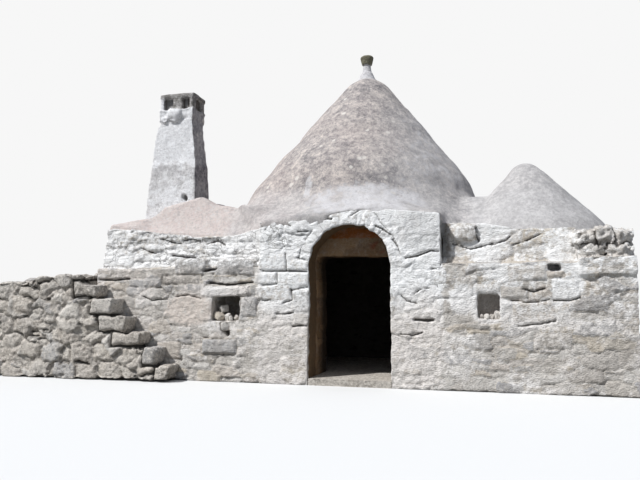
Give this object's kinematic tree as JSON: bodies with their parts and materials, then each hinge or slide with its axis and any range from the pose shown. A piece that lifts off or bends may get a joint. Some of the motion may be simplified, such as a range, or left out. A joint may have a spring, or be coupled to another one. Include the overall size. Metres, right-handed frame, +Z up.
{
  "type": "trullo house",
  "caption": "Dry-stone trullo house: a corbelled cone over a square room, a domed left wing with chimney, a small cone on the right, an arched entrance and a side stair.",
  "frame": {"origin": "ground level under the tip of the main cone, at the centre of the square room", "axes": "+Z up; the facade with the door faces -Y; +X runs along the facade to the right"},
  "size_m": [10.01, 4.9, 5.4937],
  "materials": {
    "floor_stone": "worn limestone paving, matt",
    "limewashed_bay": "limewashed render, matt",
    "reveal_stone": "bare earthy stone, matt",
    "stained_stone": "rust-stained stone, matt",
    "rubble_wall": "weathered rubble with lime joints, matt",
    "limewashed_rubble": "limewashed rubble, matt",
    "pale_plaster": "weathered lime plaster, matt",
    "chimney_lime": "limewashed plaster, matt",
    "cone_plaster": "grey weathered plaster with lichen, matt",
    "small_cone_plaster": "weathered lime plaster, matt",
    "lichen_stone": "stone with olive lichen, matt",
    "dry_stone": "dry-laid weathered limestone, matt"
  },
  "bodies": {
    "root": {"main_floor": "floor_stone", "alcove_floors": "floor_stone", "threshold_stone": "floor_stone", "bay_left_pier": "limewashed_bay", "bay_right_pier": "limewashed_bay", "entrance_arch": "limewashed_bay", "bay_left_spandrel": "limewashed_bay", "bay_right_spandrel": "limewashed_bay", "left_door_jamb": "reveal_stone", "right_door_jamb": "reveal_stone", "door_lintel": "stained_stone", "tympanum_wall": "stained_stone", "left_front_wall": "rubble_wall", "right_front_wall": "rubble_wall", "left_niche_lintel": "rubble_wall", "right_niche_plate": "rubble_wall", "right_slab_course": "rubble_wall", "right_end_stones": "rubble_wall", "left_upper_wall": "limewashed_rubble", "left_side_wall": "limewashed_rubble", "left_rear_wall": "limewashed_rubble", "right_upper_wall": "limewashed_rubble", "right_side_wall": "limewashed_rubble", "right_rear_wall": "limewashed_rubble", "main_left_wall": "limewashed_rubble", "main_right_wall": "limewashed_rubble", "main_rear_wall": "limewashed_rubble", "corner_slabs": "limewashed_rubble", "left_roof_fill": "pale_plaster", "left_vault": "pale_plaster", "roof_apron": "pale_plaster", "chimney_stack": "chimney_lime", "chimney_collar": "chimney_lime", "chimney_posts": "chimney_lime", "main_cone_lower": "cone_plaster", "main_cone_middle": "cone_plaster", "main_cone_upper": "cone_plaster", "cone_crown": "cone_plaster", "finial_neck": "cone_plaster", "right_cone": "small_cone_plaster", "chimney_cap": "lichen_stone", "finial_cap": "lichen_stone", "stair_base": "dry_stone", "stair_treads": "dry_stone", "terrace_wall": "dry_stone"}
  },
  "joints": []
}
